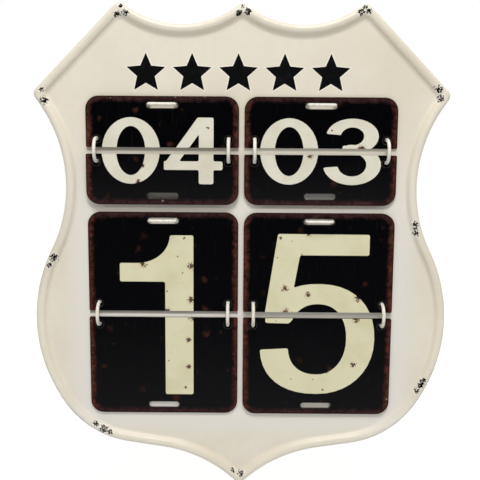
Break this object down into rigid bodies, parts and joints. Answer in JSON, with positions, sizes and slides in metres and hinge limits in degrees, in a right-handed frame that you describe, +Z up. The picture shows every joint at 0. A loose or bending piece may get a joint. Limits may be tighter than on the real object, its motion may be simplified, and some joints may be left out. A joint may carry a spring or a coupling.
{
  "type": "metal flip calendar",
  "caption": "Shield-shaped pressed-metal wall calendar whose hinged half leaves for month, weekday and day flip over wire hoops and hang on wire hooks.",
  "frame": {"origin": "on the wall plane, midway between the two hanging keyholes", "axes": "+X to the right as seen from the front, +Y into the wall, +Z up"},
  "size_m": [0.3472, 0.0227, 0.4059],
  "materials": {
    "cream_enamel": "glossy cream-white enamel, chipped to black at the rim's points",
    "white_wire": "white-coated round wire",
    "black_enamel": "satin black enamel, worn to rust brown round the edges",
    "zinc_steel": "bare zinc-plated strip"
  },
  "bodies": {
    "shield": {"shield_plate": "cream_enamel", "left_hanger": "zinc_steel", "right_hanger": "zinc_steel", "month_left_hoop": "white_wire", "month_right_hoop": "white_wire", "month_hook": "white_wire", "weekday_left_hoop": "white_wire", "weekday_right_hoop": "white_wire", "weekday_hook": "white_wire", "tens_left_hoop": "white_wire", "tens_right_hoop": "white_wire", "tens_hook": "white_wire", "units_left_hoop": "white_wire", "units_right_hoop": "white_wire", "units_hook": "white_wire"},
    "month_upper_leaf_1": {"month_upper_leaf_1": "black_enamel"},
    "month_upper_leaf_2": {"month_upper_leaf_2": "black_enamel"},
    "month_upper_leaf_3": {"month_upper_leaf_3": "black_enamel"},
    "month_upper_leaf_4": {"month_upper_leaf_4": "black_enamel"},
    "month_lower_leaf_1": {"month_lower_leaf_1": "black_enamel"},
    "month_lower_leaf_2": {"month_lower_leaf_2": "black_enamel"},
    "month_lower_leaf_3": {"month_lower_leaf_3": "black_enamel"},
    "month_lower_leaf_4": {"month_lower_leaf_4": "black_enamel"},
    "month_lower_leaf_5": {"month_lower_leaf_5": "black_enamel"},
    "month_lower_leaf_6": {"month_lower_leaf_6": "black_enamel"},
    "month_lower_leaf_7": {"month_lower_leaf_7": "black_enamel"},
    "month_lower_leaf_8": {"month_lower_leaf_8": "black_enamel"},
    "month_lower_leaf_9": {"month_lower_leaf_9": "black_enamel"},
    "weekday_upper_leaf_1": {"weekday_upper_leaf_1": "black_enamel"},
    "weekday_upper_leaf_2": {"weekday_upper_leaf_2": "black_enamel"},
    "weekday_upper_leaf_3": {"weekday_upper_leaf_3": "black_enamel"},
    "weekday_lower_leaf_1": {"weekday_lower_leaf_1": "black_enamel"},
    "weekday_lower_leaf_2": {"weekday_lower_leaf_2": "black_enamel"},
    "weekday_lower_leaf_3": {"weekday_lower_leaf_3": "black_enamel"},
    "weekday_lower_leaf_4": {"weekday_lower_leaf_4": "black_enamel"},
    "weekday_lower_leaf_5": {"weekday_lower_leaf_5": "black_enamel"},
    "tens_upper_leaf_1": {"tens_upper_leaf_1": "black_enamel"},
    "tens_upper_leaf_2": {"tens_upper_leaf_2": "black_enamel"},
    "tens_lower_leaf_1": {"tens_lower_leaf_1": "black_enamel"},
    "tens_lower_leaf_2": {"tens_lower_leaf_2": "black_enamel"},
    "tens_lower_leaf_3": {"tens_lower_leaf_3": "black_enamel"},
    "units_upper_leaf_1": {"units_upper_leaf_1": "black_enamel"},
    "units_upper_leaf_2": {"units_upper_leaf_2": "black_enamel"},
    "units_upper_leaf_3": {"units_upper_leaf_3": "black_enamel"},
    "units_upper_leaf_4": {"units_upper_leaf_4": "black_enamel"},
    "units_upper_leaf_5": {"units_upper_leaf_5": "black_enamel"},
    "units_upper_leaf_6": {"units_upper_leaf_6": "black_enamel"},
    "units_lower_leaf_1": {"units_lower_leaf_1": "black_enamel"},
    "units_lower_leaf_2": {"units_lower_leaf_2": "black_enamel"},
    "units_lower_leaf_3": {"units_lower_leaf_3": "black_enamel"},
    "units_lower_leaf_4": {"units_lower_leaf_4": "black_enamel"},
    "units_lower_leaf_5": {"units_lower_leaf_5": "black_enamel"}
  },
  "joints": [
    {"name": "month_upper_leaf_1_turn", "type": "hinge", "parent": "month_upper_leaf_2", "child": "month_upper_leaf_1", "pos_m": [-0.06525, -0.01188, -0.0627], "axis": [1, 0, 0], "range_deg": [0, 180]},
    {"name": "month_upper_leaf_2_turn", "type": "hinge", "parent": "month_upper_leaf_3", "child": "month_upper_leaf_2", "pos_m": [-0.06525, -0.01188, -0.0627], "axis": [1, 0, 0], "range_deg": [0, 180]},
    {"name": "month_upper_leaf_3_turn", "type": "hinge", "parent": "month_upper_leaf_4", "child": "month_upper_leaf_3", "pos_m": [-0.06525, -0.01188, -0.0627], "axis": [1, 0, 0], "range_deg": [0, 180]},
    {"name": "month_upper_leaf_4_turn", "type": "hinge", "parent": "shield", "child": "month_upper_leaf_4", "pos_m": [-0.06525, -0.01188, -0.0627], "axis": [1, 0, 0], "range_deg": [0, 180]},
    {"name": "month_lower_leaf_1_turn", "type": "hinge", "parent": "month_lower_leaf_2", "child": "month_lower_leaf_1", "pos_m": [-0.06525, -0.01188, -0.0627], "axis": [-1, 0, 0], "range_deg": [0, 180]},
    {"name": "month_lower_leaf_2_turn", "type": "hinge", "parent": "month_lower_leaf_3", "child": "month_lower_leaf_2", "pos_m": [-0.06525, -0.01188, -0.0627], "axis": [-1, 0, 0], "range_deg": [0, 180]},
    {"name": "month_lower_leaf_3_turn", "type": "hinge", "parent": "month_lower_leaf_4", "child": "month_lower_leaf_3", "pos_m": [-0.06525, -0.01188, -0.0627], "axis": [-1, 0, 0], "range_deg": [0, 180]},
    {"name": "month_lower_leaf_4_turn", "type": "hinge", "parent": "month_lower_leaf_5", "child": "month_lower_leaf_4", "pos_m": [-0.06525, -0.01188, -0.0627], "axis": [-1, 0, 0], "range_deg": [0, 180]},
    {"name": "month_lower_leaf_5_turn", "type": "hinge", "parent": "month_lower_leaf_6", "child": "month_lower_leaf_5", "pos_m": [-0.06525, -0.01188, -0.0627], "axis": [-1, 0, 0], "range_deg": [0, 180]},
    {"name": "month_lower_leaf_6_turn", "type": "hinge", "parent": "month_lower_leaf_7", "child": "month_lower_leaf_6", "pos_m": [-0.06525, -0.01188, -0.0627], "axis": [-1, 0, 0], "range_deg": [0, 180]},
    {"name": "month_lower_leaf_7_turn", "type": "hinge", "parent": "month_lower_leaf_8", "child": "month_lower_leaf_7", "pos_m": [-0.06525, -0.01188, -0.0627], "axis": [-1, 0, 0], "range_deg": [0, 180]},
    {"name": "month_lower_leaf_8_turn", "type": "hinge", "parent": "month_lower_leaf_9", "child": "month_lower_leaf_8", "pos_m": [-0.06525, -0.01188, -0.0627], "axis": [-1, 0, 0], "range_deg": [0, 180]},
    {"name": "month_lower_leaf_9_turn", "type": "hinge", "parent": "shield", "child": "month_lower_leaf_9", "pos_m": [-0.06525, -0.01188, -0.0627], "axis": [-1, 0, 0], "range_deg": [0, 180]},
    {"name": "weekday_upper_leaf_1_turn", "type": "hinge", "parent": "weekday_upper_leaf_2", "child": "weekday_upper_leaf_1", "pos_m": [0.06525, -0.01075, -0.0627], "axis": [1, 0, 0], "range_deg": [0, 180]},
    {"name": "weekday_upper_leaf_2_turn", "type": "hinge", "parent": "weekday_upper_leaf_3", "child": "weekday_upper_leaf_2", "pos_m": [0.06525, -0.01075, -0.0627], "axis": [1, 0, 0], "range_deg": [0, 180]},
    {"name": "weekday_upper_leaf_3_turn", "type": "hinge", "parent": "shield", "child": "weekday_upper_leaf_3", "pos_m": [0.06525, -0.01075, -0.0627], "axis": [1, 0, 0], "range_deg": [0, 180]},
    {"name": "weekday_lower_leaf_1_turn", "type": "hinge", "parent": "weekday_lower_leaf_2", "child": "weekday_lower_leaf_1", "pos_m": [0.06525, -0.01075, -0.0627], "axis": [-1, 0, 0], "range_deg": [0, 180]},
    {"name": "weekday_lower_leaf_2_turn", "type": "hinge", "parent": "weekday_lower_leaf_3", "child": "weekday_lower_leaf_2", "pos_m": [0.06525, -0.01075, -0.0627], "axis": [-1, 0, 0], "range_deg": [0, 180]},
    {"name": "weekday_lower_leaf_3_turn", "type": "hinge", "parent": "weekday_lower_leaf_4", "child": "weekday_lower_leaf_3", "pos_m": [0.06525, -0.01075, -0.0627], "axis": [-1, 0, 0], "range_deg": [0, 180]},
    {"name": "weekday_lower_leaf_4_turn", "type": "hinge", "parent": "weekday_lower_leaf_5", "child": "weekday_lower_leaf_4", "pos_m": [0.06525, -0.01075, -0.0627], "axis": [-1, 0, 0], "range_deg": [0, 180]},
    {"name": "weekday_lower_leaf_5_turn", "type": "hinge", "parent": "shield", "child": "weekday_lower_leaf_5", "pos_m": [0.06525, -0.01075, -0.0627], "axis": [-1, 0, 0], "range_deg": [0, 180]},
    {"name": "tens_upper_leaf_1_turn", "type": "hinge", "parent": "tens_upper_leaf_2", "child": "tens_upper_leaf_1", "pos_m": [-0.06525, -0.01008, -0.2005], "axis": [1, 0, 0], "range_deg": [0, 180]},
    {"name": "tens_upper_leaf_2_turn", "type": "hinge", "parent": "shield", "child": "tens_upper_leaf_2", "pos_m": [-0.06525, -0.01008, -0.2005], "axis": [1, 0, 0], "range_deg": [0, 180]},
    {"name": "tens_lower_leaf_1_turn", "type": "hinge", "parent": "tens_lower_leaf_2", "child": "tens_lower_leaf_1", "pos_m": [-0.06525, -0.01008, -0.2005], "axis": [-1, 0, 0], "range_deg": [0, 180]},
    {"name": "tens_lower_leaf_2_turn", "type": "hinge", "parent": "tens_lower_leaf_3", "child": "tens_lower_leaf_2", "pos_m": [-0.06525, -0.01008, -0.2005], "axis": [-1, 0, 0], "range_deg": [0, 180]},
    {"name": "tens_lower_leaf_3_turn", "type": "hinge", "parent": "shield", "child": "tens_lower_leaf_3", "pos_m": [-0.06525, -0.01008, -0.2005], "axis": [-1, 0, 0], "range_deg": [0, 180]},
    {"name": "units_upper_leaf_1_turn", "type": "hinge", "parent": "units_upper_leaf_2", "child": "units_upper_leaf_1", "pos_m": [0.06525, -0.01142, -0.2005], "axis": [1, 0, 0], "range_deg": [0, 180]},
    {"name": "units_upper_leaf_2_turn", "type": "hinge", "parent": "units_upper_leaf_3", "child": "units_upper_leaf_2", "pos_m": [0.06525, -0.01142, -0.2005], "axis": [1, 0, 0], "range_deg": [0, 180]},
    {"name": "units_upper_leaf_3_turn", "type": "hinge", "parent": "units_upper_leaf_4", "child": "units_upper_leaf_3", "pos_m": [0.06525, -0.01142, -0.2005], "axis": [1, 0, 0], "range_deg": [0, 180]},
    {"name": "units_upper_leaf_4_turn", "type": "hinge", "parent": "units_upper_leaf_5", "child": "units_upper_leaf_4", "pos_m": [0.06525, -0.01142, -0.2005], "axis": [1, 0, 0], "range_deg": [0, 180]},
    {"name": "units_upper_leaf_5_turn", "type": "hinge", "parent": "units_upper_leaf_6", "child": "units_upper_leaf_5", "pos_m": [0.06525, -0.01142, -0.2005], "axis": [1, 0, 0], "range_deg": [0, 180]},
    {"name": "units_upper_leaf_6_turn", "type": "hinge", "parent": "shield", "child": "units_upper_leaf_6", "pos_m": [0.06525, -0.01142, -0.2005], "axis": [1, 0, 0], "range_deg": [0, 180]},
    {"name": "units_lower_leaf_1_turn", "type": "hinge", "parent": "units_lower_leaf_2", "child": "units_lower_leaf_1", "pos_m": [0.06525, -0.01142, -0.2005], "axis": [-1, 0, 0], "range_deg": [0, 180]},
    {"name": "units_lower_leaf_2_turn", "type": "hinge", "parent": "units_lower_leaf_3", "child": "units_lower_leaf_2", "pos_m": [0.06525, -0.01142, -0.2005], "axis": [-1, 0, 0], "range_deg": [0, 180]},
    {"name": "units_lower_leaf_3_turn", "type": "hinge", "parent": "units_lower_leaf_4", "child": "units_lower_leaf_3", "pos_m": [0.06525, -0.01142, -0.2005], "axis": [-1, 0, 0], "range_deg": [0, 180]},
    {"name": "units_lower_leaf_4_turn", "type": "hinge", "parent": "units_lower_leaf_5", "child": "units_lower_leaf_4", "pos_m": [0.06525, -0.01142, -0.2005], "axis": [-1, 0, 0], "range_deg": [0, 180]},
    {"name": "units_lower_leaf_5_turn", "type": "hinge", "parent": "shield", "child": "units_lower_leaf_5", "pos_m": [0.06525, -0.01142, -0.2005], "axis": [-1, 0, 0], "range_deg": [0, 180]}
  ]
}
